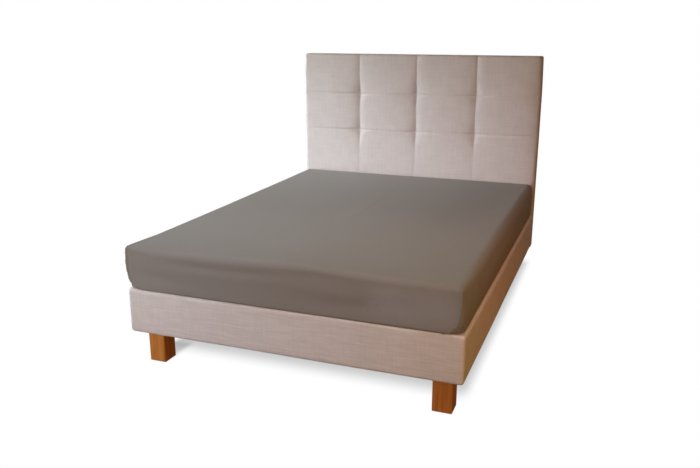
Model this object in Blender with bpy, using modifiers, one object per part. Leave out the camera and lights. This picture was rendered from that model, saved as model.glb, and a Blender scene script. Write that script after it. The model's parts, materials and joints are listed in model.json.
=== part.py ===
"""A fitted sheet pulled over a mattress, on an upholstered bed base with a tufted headboard and four wooden legs.

Metres, +Z up. The origin is on the floor, under the middle of the whole object. The foot of the bed faces -Y, the
headboard stands at +Y, and left and right are those of someone who stands at the foot and looks along +Y.
"""

import math

import bmesh
import bpy
import numpy as np

# ---------------------------------------------------------------- driving dimensions

COLLECTION = "fitted_sheet_bed"
TOUCH_GAP = 0.0003  # left between two pieces that rest on each other

BED_WIDTH = 1.54
BASE_LENGTH = 2.005  # from the foot face of the base to the front of the headboard
BASE_HEIGHT = 0.204
BASE_EDGE = 0.012
BASE_EDGE_STEPS = 3

LEG_HEIGHT = 0.169
LEG_SIDE = 0.085
LEG_EDGE = 0.003
LEG_EDGE_STEPS = 1
FOOT_LEG_FROM_SIDE = 0.045  # bed side to the outer face of a leg
FOOT_LEG_FROM_END = 0.055
HEAD_LEG_FROM_SIDE = 0.09
HEAD_LEG_FROM_END = 0.09

CLOTH_THICKNESS = 0.002
CLOTH_HEIGHT = 0.2025  # the sheet's underside to its top
CLOTH_HALF_WIDTH = 0.766
CLOTH_PAST_FOOT = 0.011  # the sheet overhangs the foot face of the base by this
CLOTH_TO_HEADBOARD = 0.004
LOWER_BEND = 0.012  # the radius where the sheet turns under the mattress
TUCK_START = 0.026  # the tuck lies flat from this far in
TUCK_REACH = 0.115  # how far the tuck runs in under the mattress, to the elastic hem
HEM_CORNER = 0.16  # the elastic draws the hem's corners into wide curves
SEAM_RISE = 0.003  # the sewn seam at each corner stands out by this
TOP_RINGS = ((0.030, 0.02), (0.120, 0.04))  # on the flat top: how far in past the widest edge, and corner radius
FOLDS_START = 0.035  # the folds fade out over this height above the underside

SIDE_SLACK = 0.005  # between the inside of the cloth and the sides of the mattress, folds left out
MATTRESS_ROUNDER = 0.010  # the mattress has larger corner and edge radii than the cloth by this

HEADBOARD_TOP = 1.35
HEADBOARD_BOTTOM = 0.158
HEADBOARD_DEPTH = 0.10
HEADBOARD_EDGE = 0.018  # the padded rim rolls back by this much
PAD_COLUMNS = 4
TUFT_ROWS = (1.105, 0.867)  # heights of the two sewn rows that show above the mattress
SEAM_DEPTH = 0.014  # of an upright seam, half way between two tufts
TUFT_DEPTH = 0.028
LEVEL_SEAM_DEPTH = 0.002  # of a level seam, away from a tuft
LEVEL_TUFT_DEPTH = 0.012  # of a level seam, where it runs into a tuft
SEAM_HALF_WIDTH = 0.070  # from an upright seam to where the pad is full
LEVEL_HALF_WIDTH = 0.030
TUFT_REACH = 0.080
PLAIN_BELOW = (0.42, 0.56)  # between these heights the relief fades out downwards, to a flat board
RIM_LINES = (0.0, 0.006, HEADBOARD_EDGE)  # grid lines, as distances in from the rim
UPRIGHT_LINES = (0.0, 0.016, 0.040, SEAM_HALF_WIDTH)  # and to each side of an upright seam
LEVEL_LINES = (0.0, 0.012, LEVEL_HALF_WIDTH, TUFT_REACH)  # and of a level seam
HIDDEN_PAD_LINE = 0.68

# The radius of the cloth's corners, seen from above. Each row is a height, as a share of the cloth's height.
# height, foot left, foot right, head
CORNER_RADII = (
    (0.00, 0.085, 0.080, 0.075),
    (0.06, 0.050, 0.064, 0.050),
    (0.14, 0.030, 0.056, 0.036),
    (0.30, 0.021, 0.050, 0.026),
    (0.50, 0.016, 0.040, 0.020),
    (0.66, 0.013, 0.022, 0.016),
    (1.00, 0.012, 0.012, 0.012),
)

# The radius of the cloth's top edge, which is softer in some stretches than in others.
# side, place along the side from its start (0) to its end (1), radius
TOP_EDGE = (
    ("foot", 0.00, 0.014),
    ("foot", 0.04, 0.024),
    ("foot", 0.10, 0.034),
    ("foot", 0.25, 0.044),
    ("foot", 0.44, 0.038),
    ("foot", 0.58, 0.028),
    ("foot", 0.72, 0.026),
    ("foot", 1.00, 0.022),
    ("right", 0.12, 0.036),
    ("right", 0.50, 0.042),
    ("right", 0.90, 0.036),
    ("head", 0.10, 0.030),
    ("head", 0.90, 0.030),
    ("left", 0.10, 0.036),
    ("left", 0.55, 0.040),
    ("left", 0.90, 0.032),
    ("left", 0.96, 0.022),
)

# Soft ridges and troughs in the cloth's sides. Along runs from the middle of the side, towards +X or +Y, and
# height from the cloth's underside. Lean turns the fold's long axis up from level. A trough has a rise below zero.
# side, along, height, half length, half height, lean in degrees, rise
FOLDS = (
    ("foot", -0.375, 0.166, 0.120, 0.022, -2, -0.0028),
    ("foot", -0.125, 0.168, 0.060, 0.020, 0, -0.0024),
    ("foot", 0.000, 0.170, 0.060, 0.022, 0, 0.0022),
    ("foot", 0.150, 0.166, 0.120, 0.022, 3, -0.0026),
    ("foot", -0.300, 0.112, 0.200, 0.024, 2, 0.0028),
    ("foot", 0.130, 0.112, 0.180, 0.022, -3, 0.0024),
    ("foot", 0.480, 0.128, 0.160, 0.026, 4, 0.0022),
    ("foot", -0.560, 0.070, 0.140, 0.030, -5, -0.0022),
    ("foot", 0.300, 0.062, 0.200, 0.024, 2, -0.0020),
    ("foot", 0.640, 0.110, 0.050, 0.070, 8, -0.0018),
    ("right", -0.860, 0.110, 0.035, 0.075, 4, 0.0026),
    ("right", -0.760, 0.105, 0.045, 0.080, -6, -0.0024),
    ("right", -0.600, 0.100, 0.080, 0.070, 10, 0.0020),
    ("right", -0.150, 0.105, 0.320, 0.030, 2, 0.0020),
    ("right", 0.420, 0.090, 0.280, 0.034, -3, -0.0018),
    ("left", -0.840, 0.105, 0.050, 0.070, -5, 0.0022),
    ("left", -0.480, 0.120, 0.260, 0.032, 3, -0.0020),
    ("left", 0.240, 0.100, 0.300, 0.034, -2, 0.0022),
)

# Round one ring of the cloth: the steps in each side and in each corner.
CLOTH_SIDE_STEPS = {"foot": 30, "right": 24, "head": 6, "left": 22}
CLOTH_CORNER_STEPS = 6
MATTRESS_SIDE_STEPS = {"foot": 6, "right": 6, "head": 3, "left": 6}
MATTRESS_CORNER_STEPS = 4
CLOTH_SIDE_LEVELS = (0.28, 0.52, 0.76)  # rings on the upright part of a side, as shares of its height
MATTRESS_SIDE_LEVELS = (0.3, 0.65)
LOWER_BEND_TILTS = (-90, -60, -30, 0)  # the surface's tilt at each ring round a bend, in degrees
TOP_EDGE_TILTS = (0, 22.5, 45, 67.5, 90)
SMOOTH_BELOW = 40  # degrees between two faces, above which their edge stays sharp

# Linear red, green and blue, roughness and sheen.
CLOTH_LOOK = ((0.195, 0.175, 0.155), 0.85, 0.15)
TICKING_LOOK = ((0.72, 0.71, 0.68), 0.9, 0.0)
UPHOLSTERY_LOOK = ((0.48, 0.41, 0.37), 0.9, 0.1)
WOOD_LOOK = ((0.36, 0.15, 0.045), 0.45, 0.0)

# ---------------------------------------------------------------- places worked out from the sizes

TOTAL_LENGTH = CLOTH_PAST_FOOT + BASE_LENGTH + HEADBOARD_DEPTH
BASE_FOOT_Y = CLOTH_PAST_FOOT - TOTAL_LENGTH / 2
HEADBOARD_FRONT_Y = BASE_FOOT_Y + BASE_LENGTH
BASE_TOP = LEG_HEIGHT + BASE_HEIGHT
CLOTH_BOTTOM = BASE_TOP + TOUCH_GAP
CLOTH_FOOT_Y = BASE_FOOT_Y - CLOTH_PAST_FOOT
CLOTH_HEAD_Y = HEADBOARD_FRONT_Y - CLOTH_TO_HEADBOARD
CLOTH_HALF_LENGTH = (CLOTH_HEAD_Y - CLOTH_FOOT_Y) / 2
CLOTH_MIDDLE_Y = (CLOTH_HEAD_Y + CLOTH_FOOT_Y) / 2
WIDEST_TOP_EDGE = max(radius for _, _, radius in TOP_EDGE)
PAD_WIDTH = BED_WIDTH / PAD_COLUMNS

SIDES = ("foot", "right", "head", "left")
SIDE_NORMALS = {"foot": (0, -1), "right": (1, 0), "head": (0, 1), "left": (-1, 0)}
CORE_CORNERS = ((-1, -1), (1, -1), (1, 1), (-1, 1))  # where each side starts, in the order of SIDES


# ---------------------------------------------------------------- helpers


def clear_scene():
    for thing in list(bpy.data.objects):
        bpy.data.objects.remove(thing, do_unlink=True)


def make_collection():
    group = bpy.data.collections.new(COLLECTION)
    bpy.context.scene.collection.children.link(group)
    return group


def plain_material(name, look):
    """A Principled material from one of the LOOK rows."""
    colour, roughness, sheen = look
    made = bpy.data.materials.new(name)
    made.use_nodes = True
    shader = made.node_tree.nodes["Principled BSDF"]
    shader.inputs["Base Color"].default_value = (*colour, 1.0)
    shader.inputs["Roughness"].default_value = roughness
    shader.inputs["Metallic"].default_value = 0.0
    shader.inputs["Sheen Weight"].default_value = sheen
    return made


def add_piece(group, name, mesh, material):
    piece = bpy.data.objects.new(name, mesh)
    group.objects.link(piece)
    mesh.materials.append(material)
    return piece


def block_mesh(name, size):
    """A box of the given size, centred on its origin."""
    mesh = bpy.data.meshes.new(name)
    form = bmesh.new()
    bmesh.ops.create_cube(form, size=1.0)
    bmesh.ops.scale(form, vec=size, verts=form.verts)
    form.to_mesh(mesh)
    form.free()
    return mesh


def round_edges(piece, radius, segments):
    bevel = piece.modifiers.new("rounded edges", "BEVEL")
    bevel.width = radius
    bevel.segments = segments
    bevel.limit_method = "ANGLE"


def loft_mesh(name, rings, cap_first, cap_last):
    """A skin over rings of points, given as an array of ring, place and coordinate. A cap closes an end ring."""
    ring_count, per_ring = rings.shape[:2]
    numbers = np.arange(ring_count * per_ring).reshape(ring_count, per_ring)
    after = np.roll(numbers, -1, axis=1)
    quads = np.stack([numbers[:-1], after[:-1], after[1:], numbers[1:]], axis=-1)
    faces = quads.reshape(-1, 4).tolist()
    if cap_first:
        faces.append(numbers[0][::-1].tolist())
    if cap_last:
        faces.append(numbers[-1].tolist())
    mesh = bpy.data.meshes.new(name)
    mesh.from_pydata(rings.reshape(-1, 3).tolist(), [], faces)
    mesh.validate()
    return mesh


def smooth(mesh):
    mesh.shade_smooth()
    mesh.set_sharp_from_angle(angle=math.radians(SMOOTH_BELOW))


# ---------------------------------------------------------------- the cloth's form


def outline(side_steps, corner_steps):
    """The places round a rounded rectangle, anticlockwise from the foot's left end.

    A place has a core point on the inner rectangle, from -1 to 1 each way, an outward direction, the number of
    sides passed so far, with the share of this one, and how near it is to the middle of a corner (0 to 1).
    """
    core, outward, passed, at_seam = [], [], [], []
    for number, side in enumerate(SIDES):
        start = np.array(CORE_CORNERS[number], float)
        end = np.array(CORE_CORNERS[(number + 1) % 4], float)
        steps = side_steps[side]
        for step in range(steps):
            share = step / steps
            core.append(start + (end - start) * share)
            outward.append(SIDE_NORMALS[side])
            passed.append(number + share)
            at_seam.append(0.0)
        first = math.atan2(SIDE_NORMALS[side][1], SIDE_NORMALS[side][0])
        for step in range(corner_steps):
            angle = first + math.pi / 2 * step / corner_steps
            core.append(end)
            outward.append((math.cos(angle), math.sin(angle)))
            passed.append(number + 1)
            at_seam.append(1.0 if 2 * step == corner_steps else 0.0)
    return np.array(core), np.array(outward), np.array(passed), np.array(at_seam)


def corner_radius(passed, height_share):
    """The corner radius at a height, read from CORNER_RADII at each corner and even in between."""
    rows = np.array(CORNER_RADII)
    foot_left, foot_right, head = (np.interp(height_share, rows[:, 0], rows[:, n]) for n in (1, 2, 3))
    return np.interp(passed, (0, 1, 2, 3, 4), (foot_left, foot_right, head, head, foot_left))


def top_edge_radius(passed):
    """The radius of the top edge, read from TOP_EDGE round the whole outline."""
    places = [SIDES.index(side) + along for side, along, _ in TOP_EDGE]
    radii = [radius for _, _, radius in TOP_EDGE]
    return np.interp(passed, places, radii, period=4)


def fold_rise(points, outward, height):
    """How far the folds lift the cloth at each point: a bell-shaped hump or dip for each row of FOLDS.

    The lift fades to nothing at the underside, which lies flat on the base.
    """
    rise = np.zeros(len(points))
    for side, along, level, half_length, half_height, lean, depth in FOLDS:
        facing = np.clip(outward @ np.array(SIDE_NORMALS[side], float), 0, 1) ** 2
        place = points[:, 0] if side == "foot" else points[:, 1] - CLOTH_MIDDLE_Y
        across, up = place - along, height - level
        turn = math.radians(lean)
        long_way = across * math.cos(turn) + up * math.sin(turn)
        short_way = up * math.cos(turn) - across * math.sin(turn)
        rise += facing * depth * np.exp(-((long_way / half_length) ** 2) - (short_way / half_height) ** 2)
    return rise * np.clip(height / FOLDS_START, 0, 1)


def ring(places, inset, height, radius, tilt_degrees, folds, size):
    """One ring of the cloth or the mattress: a rounded rectangle drawn in by inset, at a height.

    size holds the half width, the half length, and the height of the underside. The tilt is that of the surface,
    0 where it stands upright and 90 where it faces up, and the folds and seams lift the points that way.
    """
    core, outward, _, at_seam = places
    half_width, half_length, bottom = size
    reach = np.stack([half_width - inset - radius, half_length - inset - radius], axis=-1)
    flat = core * reach + outward * radius[:, None]
    flat[:, 1] += CLOTH_MIDDLE_Y
    tilt = math.radians(tilt_degrees)
    lift = np.zeros(len(flat))
    if folds:
        lift = fold_rise(flat, outward, height) + SEAM_RISE * at_seam * math.cos(tilt)
    flat += outward * (lift * math.cos(tilt))[:, None]
    level = bottom + height + lift * math.sin(tilt)
    return np.column_stack([flat, level])


def wall_rings(places, size, height, bend, edge, extra_radius, folds, levels):
    """The rings from the flat underside, round the lower bend, up the side and over the top edge."""
    passed = places[2]
    rings = []
    for tilt in LOWER_BEND_TILTS:
        turn = math.radians(tilt)
        level = np.full(len(passed), bend * (1 + math.sin(turn)))
        radius = corner_radius(passed, level[0] / height) + extra_radius
        rings.append(ring(places, np.full(len(passed), bend * (1 - math.cos(turn))), level, radius, tilt, folds, size))
    for share in levels:
        level = bend + (height - edge - bend) * share
        radius = corner_radius(passed, share) + extra_radius
        rings.append(ring(places, np.zeros(len(passed)), level, radius, 0, folds, size))
    top_radius = corner_radius(passed, 1.0) + extra_radius
    for tilt in TOP_EDGE_TILTS:
        turn = math.radians(tilt)
        inset = edge * (1 - math.cos(turn))
        level = height - edge * (1 - math.sin(turn))
        rings.append(ring(places, inset, level, top_radius, tilt, folds, size))
    return rings


def flat_ring(places, size, inset, height, radius):
    """A ring on a flat face of the cloth or the mattress."""
    count = len(places[2])
    return ring(places, np.full(count, inset), np.full(count, height), np.full(count, radius), 90, False, size)


def build_sheet(group, material):
    """One cut of thin cloth: the top, the four sides, the sewn corners and the tuck under the mattress."""
    places = outline(CLOTH_SIDE_STEPS, CLOTH_CORNER_STEPS)
    size = (CLOTH_HALF_WIDTH, CLOTH_HALF_LENGTH, CLOTH_BOTTOM)
    edge = top_edge_radius(places[2])
    rings = [flat_ring(places, size, TUCK_REACH, 0.0, HEM_CORNER)]
    rings.append(flat_ring(places, size, TUCK_START, 0.0, CORNER_RADII[0][1]))
    rings += wall_rings(places, size, CLOTH_HEIGHT, LOWER_BEND, edge, 0.0, True, CLOTH_SIDE_LEVELS)
    for past_edge, radius in TOP_RINGS:
        rings.append(flat_ring(places, size, WIDEST_TOP_EDGE + past_edge, CLOTH_HEIGHT, radius))
    sheet = add_piece(group, "fitted_sheet", loft_mesh("fitted_sheet", np.array(rings), False, True), material)
    smooth(sheet.data)
    wall = sheet.modifiers.new("cloth thickness", "SOLIDIFY")
    wall.thickness = CLOTH_THICKNESS
    wall.offset = -1.0
    wall.use_even_offset = True
    return sheet


def build_mattress(group, material):
    """The filled block under the cloth, clear of it at the sides and just under it on top."""
    places = outline(MATTRESS_SIDE_STEPS, MATTRESS_CORNER_STEPS)
    drawn_in = CLOTH_THICKNESS + SIDE_SLACK
    stacked = CLOTH_THICKNESS + TOUCH_GAP
    size = (CLOTH_HALF_WIDTH - drawn_in, CLOTH_HALF_LENGTH - drawn_in, CLOTH_BOTTOM + stacked)
    height = CLOTH_HEIGHT - 2 * stacked
    edge = np.full(len(places[2]), WIDEST_TOP_EDGE + MATTRESS_ROUNDER)
    bend = LOWER_BEND + MATTRESS_ROUNDER
    rings = wall_rings(places, size, height, bend, edge, MATTRESS_ROUNDER, False, MATTRESS_SIDE_LEVELS)
    return add_piece(group, "mattress", loft_mesh("mattress", np.array(rings), True, True), material)


# ---------------------------------------------------------------- the bed


def build_base(group, material):
    length = BASE_LENGTH - TOUCH_GAP
    base = add_piece(group, "bed_base", block_mesh("bed_base", (BED_WIDTH, length, BASE_HEIGHT)), material)
    base.location = (0, BASE_FOOT_Y + length / 2, LEG_HEIGHT + BASE_HEIGHT / 2)
    round_edges(base, BASE_EDGE, BASE_EDGE_STEPS)
    return base


def pad_relief(x, z):
    """How far the headboard's front lies behind its fullest point.

    Each seam is a valley with rounded shoulders. It is deepest at a tuft, where an upright and a level seam
    cross, and it fades out downwards behind the mattress.
    """
    seams_x = [PAD_WIDTH * (number - PAD_COLUMNS / 2) for number in range(1, PAD_COLUMNS)]
    to_upright = np.min([np.abs(x - place) for place in seams_x], axis=0)
    to_level = np.min([np.abs(z - place) for place in TUFT_ROWS], axis=0)
    upright = np.clip(1 - to_upright / SEAM_HALF_WIDTH, 0, 1) ** 2
    level = np.clip(1 - to_level / LEVEL_HALF_WIDTH, 0, 1) ** 2
    near_level = np.exp(-((to_level / TUFT_REACH) ** 2))
    near_upright = np.exp(-((to_upright / TUFT_REACH) ** 2))
    upright_depth = upright * (SEAM_DEPTH + (TUFT_DEPTH - SEAM_DEPTH) * near_level)
    level_depth = level * (LEVEL_SEAM_DEPTH + (LEVEL_TUFT_DEPTH - LEVEL_SEAM_DEPTH) * near_upright)
    faded = np.clip((z - PLAIN_BELOW[0]) / (PLAIN_BELOW[1] - PLAIN_BELOW[0]), 0, 1)
    return np.maximum(upright_depth, level_depth) * faded


def rim_roll(distance):
    """How far the front rolls back at a distance in from the rim: a quarter round."""
    inside = np.clip(1 - distance / HEADBOARD_EDGE, 0, 1)
    return HEADBOARD_EDGE * (1 - np.sqrt(np.clip(1 - inside**2, 0, 1)))


def headboard_lines():
    """The grid lines of the headboard's front: close together at the seams and the rim, wider over the pads."""
    half = BED_WIDTH / 2
    columns = [half - step for step in RIM_LINES] + [step - half for step in RIM_LINES]
    for number in range(1, PAD_COLUMNS):
        seam = PAD_WIDTH * number - half
        columns += [seam + step for step in UPRIGHT_LINES] + [seam - step for step in UPRIGHT_LINES]
    columns += [PAD_WIDTH * (number + 0.5) - half for number in range(PAD_COLUMNS)]
    rows = [HEADBOARD_TOP - step for step in RIM_LINES] + [HEADBOARD_BOTTOM + step for step in RIM_LINES]
    for seam in TUFT_ROWS:
        rows += [seam + step for step in LEVEL_LINES] + [seam - step for step in LEVEL_LINES]
    rows += [(HEADBOARD_TOP + TUFT_ROWS[0]) / 2, sum(TUFT_ROWS) / 2, HIDDEN_PAD_LINE, *PLAIN_BELOW]
    return sorted(set(columns)), sorted(set(rows))


def build_headboard(group, material):
    """An upholstered board with a flat back, its front a grid pressed in at the seams and rolled at the rim."""
    columns, rows = (np.array(lines) for lines in headboard_lines())
    x, z = np.meshgrid(columns, rows)
    to_rim = np.minimum(BED_WIDTH / 2 - np.abs(x), np.minimum(HEADBOARD_TOP - z, z - HEADBOARD_BOTTOM))
    y = HEADBOARD_FRONT_Y + np.maximum(pad_relief(x, z), rim_roll(to_rim))
    form = bmesh.new()
    bmesh.ops.create_grid(form, x_segments=len(columns) - 1, y_segments=len(rows) - 1, size=0.5)
    form.verts.ensure_lookup_table()
    for vertex, place in zip(form.verts, np.stack([x, y, z], axis=-1).reshape(-1, 3)):
        vertex.co = place
    rim = [edge for edge in form.edges if edge.is_boundary]
    walls = bmesh.ops.extrude_edge_only(form, edges=rim)["geom"]
    back = [item for item in walls if isinstance(item, bmesh.types.BMVert)]
    for vertex in back:
        vertex.co.y = HEADBOARD_FRONT_Y + HEADBOARD_DEPTH
    back_rim = [edge for edge in form.edges if edge.is_boundary]
    bmesh.ops.contextual_create(form, geom=back_rim)
    bmesh.ops.recalc_face_normals(form, faces=form.faces)
    mesh = bpy.data.meshes.new("headboard")
    form.to_mesh(mesh)
    form.free()
    smooth(mesh)
    return add_piece(group, "headboard", mesh, material)


def build_legs(group, material):
    foot_y = BASE_FOOT_Y + FOOT_LEG_FROM_END + LEG_SIDE / 2
    head_y = HEADBOARD_FRONT_Y - HEAD_LEG_FROM_END - LEG_SIDE / 2
    foot_x = BED_WIDTH / 2 - FOOT_LEG_FROM_SIDE - LEG_SIDE / 2
    head_x = BED_WIDTH / 2 - HEAD_LEG_FROM_SIDE - LEG_SIDE / 2
    height = LEG_HEIGHT - TOUCH_GAP
    shape = block_mesh("leg", (LEG_SIDE, LEG_SIDE, height))
    shape.materials.append(material)
    for end, x, y in (("foot", foot_x, foot_y), ("head", head_x, head_y)):
        for hand, way in (("left", -1), ("right", 1)):
            leg = bpy.data.objects.new(f"leg_{end}_{hand}", shape)
            group.objects.link(leg)
            leg.location = (way * x, y, height / 2)
            round_edges(leg, LEG_EDGE, LEG_EDGE_STEPS)


def main():
    clear_scene()
    group = make_collection()
    cloth = plain_material("sheet_cloth", CLOTH_LOOK)
    ticking = plain_material("mattress_ticking", TICKING_LOOK)
    upholstery = plain_material("greige_upholstery", UPHOLSTERY_LOOK)
    wood = plain_material("oiled_wood", WOOD_LOOK)
    build_sheet(group, cloth)
    build_mattress(group, ticking)
    build_base(group, upholstery)
    build_headboard(group, upholstery)
    build_legs(group, wood)


main()
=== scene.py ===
"""Looks of a plain knit fitted sheet, pulled over a mattress on an upholstered bed with a tufted headboard.

Metres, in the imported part's frame: +Z up, the foot of the bed faces -Y, the headboard stands at +Y, and
left and right are those of someone who stands at the foot and looks along +Y.
"""

import collections
import json
import math

import bpy
import numpy as np
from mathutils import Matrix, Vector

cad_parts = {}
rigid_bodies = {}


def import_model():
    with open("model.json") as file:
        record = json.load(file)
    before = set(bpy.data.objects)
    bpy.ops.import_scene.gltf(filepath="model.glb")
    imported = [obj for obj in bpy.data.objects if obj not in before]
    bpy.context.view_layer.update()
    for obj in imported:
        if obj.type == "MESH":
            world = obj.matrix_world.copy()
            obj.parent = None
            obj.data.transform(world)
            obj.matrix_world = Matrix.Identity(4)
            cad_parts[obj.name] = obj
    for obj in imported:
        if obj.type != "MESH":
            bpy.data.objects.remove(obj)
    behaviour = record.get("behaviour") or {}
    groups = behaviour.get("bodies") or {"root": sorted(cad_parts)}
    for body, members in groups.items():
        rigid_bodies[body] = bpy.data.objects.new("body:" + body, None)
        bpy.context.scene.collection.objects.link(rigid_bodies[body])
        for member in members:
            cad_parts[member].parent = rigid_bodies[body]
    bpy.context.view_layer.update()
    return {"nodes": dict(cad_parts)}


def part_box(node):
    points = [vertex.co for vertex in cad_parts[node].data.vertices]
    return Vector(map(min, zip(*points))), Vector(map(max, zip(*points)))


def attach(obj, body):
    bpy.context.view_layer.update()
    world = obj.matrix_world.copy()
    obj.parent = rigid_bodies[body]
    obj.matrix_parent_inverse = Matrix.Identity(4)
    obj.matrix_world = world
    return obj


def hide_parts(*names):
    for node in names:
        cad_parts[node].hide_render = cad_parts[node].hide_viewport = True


# ---------------------------------------------------------------- sizes

BED_HALF_WIDTH = 0.77

SHEET_HALF_SIZE = (0.766, 1.006)  # across and along, outside the cloth
SHEET_MIDDLE_Y = -0.052
SHEET_BOTTOM = 0.3733
SHEET_HEIGHT = 0.2025
SHEET_THICKNESS = 0.002
LOWER_BEND = 0.012  # the radius where the cloth turns under the mattress
TUCK_START = 0.026
TUCK_REACH = 0.115  # how far the cloth runs in under the mattress, to the elastic hem
TUCK_RINGS = (TUCK_REACH, 0.085, 0.055, TUCK_START)  # how far in the tuck's grid lines lie
HEM_CORNER = 0.16  # the elastic draws the hem's corners into wide curves
FOLDS_START = 0.035  # the folds fade out over this height above the underside

MATTRESS_CORNER = 0.062
MATTRESS_EDGE = 0.050
MATTRESS_LOWER_EDGE = 0.022

BASE_CORNERS = (0.016, 0.007)  # at the left and at the right
BASE_EDGE = 0.008
BASE_PUFF = 0.0085  # the padded cover stands out by this all round
BASE_UNEVEN = 0.0008  # and by this much more or less from place to place
# Waves across and waves along the base: radians a metre that way, radians a metre up, phase.
BASE_WAVES = ((7.3, 11.0, 0.0), (6.1, 17.0, 0.8))

# The radius of the base's top edge.
# sides passed from the foot's left end, radius
BASE_TOP_EDGE = (
    (0.00, 0.012),
    (0.50, 0.008),
    (0.98, 0.005),
    (1.02, 0.018),
    (1.98, 0.018),
    (2.02, 0.008),
    (4.00, 0.012),
)

HEADBOARD_TOP = 1.35
HEADBOARD_EDGE = 0.014
HEADBOARD_BACK_EDGE = 0.005
HEADBOARD_CORNER = 0.010
HEADBOARD_PUFF = 0.009  # the padding stands out by this at the sides
HEADBOARD_PUFF_FADE = 0.22  # and less within this distance of the top
HEADBOARD_PUFF_ROUNDNESS = 0.3  # the lower, the flatter the sides are between their edges
PAD_COLUMNS = 4
TUFT_ROWS = (0.867, 1.105)  # heights of the level seams
HIDDEN_BELOW = 0.54  # the mattress hides the headboard below this height, and its grid is coarse there
SLACK_BELOW = (0.70, 0.87)  # between these heights the seams grow from slack to their full depth
SLACK_SHARE = 0.30  # what slack seams and crowns keep of their depth
PAD_CROWN = 0.0045  # each pad is fuller in its middle than beside its seams by this
PAD_TUFT_CROWN = 0.0085  # and by this much more at a row of tufts
SEAM_DEPTH = 0.0045  # of an upright seam's valley, away from the tufts
TUFT_DEPTH = 0.0115  # and at a tuft
TUFT_REACH = 0.062
SEAM_HALF_WIDTH = 0.065
SEAM_SHARPNESS = 2.8  # the higher, the narrower the valley is at its bottom
LEVEL_SEAM_DEPTH = 0.0040  # of a level seam's groove, away from the tufts
LEVEL_TUFT_DEPTH = 0.0125  # and at a tuft
LEVEL_TUFT_REACH = 0.060
LEVEL_HALF_WIDTHS = (0.012, 0.020)  # of a level seam's groove, above the seam and below it
LEVEL_SHARPNESS = 1.5
LEVEL_SEAM_DROP = 0.003  # the level seams lie this much lower, and rise a little towards the right
LEVEL_SEAM_RISE = 0.008
LEVEL_SEAM_FADE = 0.060  # the level seams run out over this distance from the rim
LEFT_CROWN = 0.2  # the share of its crown that the left pads keep at the rim
RIM_FALLS = (0.002, 0.006, 0.002)  # the padding thins by this towards the left, the right and the top
RIM_FALL_WIDTH = 0.075

# The radius of the cloth's corners, seen from above. Each row is a height, as a share of the cloth's height.
# height, foot left, foot right, head
CORNER_RADII = (
    (0.00, 0.085, 0.108, 0.075),
    (0.06, 0.052, 0.056, 0.050),
    (0.14, 0.034, 0.031, 0.036),
    (0.30, 0.022, 0.019, 0.026),
    (0.50, 0.016, 0.013, 0.020),
    (0.66, 0.013, 0.011, 0.016),
    (1.00, 0.012, 0.009, 0.012),
)

# The radius of the cloth's top edge, which is softer in some stretches than in others.
# sides passed from the foot's left end, radius
TOP_EDGE = (
    (0.00, 0.014),
    (0.04, 0.024),
    (0.10, 0.032),
    (0.25, 0.037),
    (0.44, 0.031),
    (0.58, 0.025),
    (0.72, 0.028),
    (1.00, 0.024),
    (1.12, 0.036),
    (1.50, 0.042),
    (1.90, 0.036),
    (2.10, 0.030),
    (2.90, 0.030),
    (3.10, 0.036),
    (3.55, 0.040),
    (3.90, 0.032),
    (3.96, 0.022),
)

# How many steps of a corner's quarter turn each seam lies beside its middle: foot right, head right,
# head left, foot left.
SEAM_STEPS = (-6, 0, 0, 0)
SEAM_RIDGE = (0.0034, 0.0045)  # rise, half width
SEAM_GROOVES = (0.0014, 0.011, 0.0045)  # depth, distance from the seam, half width
SEAM_PUCKER_REACH = 0.020  # the seam draws puckers into the cloth this far beside it
SEAM_PUCKERS = ((0.0007, 0.017, 1.3), (0.0005, 0.041, 0.0))  # rise, pitch up the seam, phase
SEAM_FADE = 1.6  # the seam runs out over the top edge with this many times the cosine of the tilt
TUCK_TILT = -1.0  # cloth that faces further down than this, in radians, has no seams or bellies

# How far the filling pushes each side out, and over what distance from the side's ends it grows to that.
# side, rise, run in
BELLIES = (
    ("right", 0.0095, 0.060),
    ("left", 0.0040, 0.020),
    ("head", 0.0030, 0.060),
)
BELLY_ROUNDNESS = 0.6  # the lower, the flatter a side is between its top and its underside

TOP_CREASE = (0.0009, 0.0065)  # rise, half width
TOP_SWELLS = 0.0007

# The top's edge is a little higher in the middle of the foot: middle across, half length, how far back, rise.
FOOT_BOW = (0.08, 0.30, 0.16, 0.011)

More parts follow.
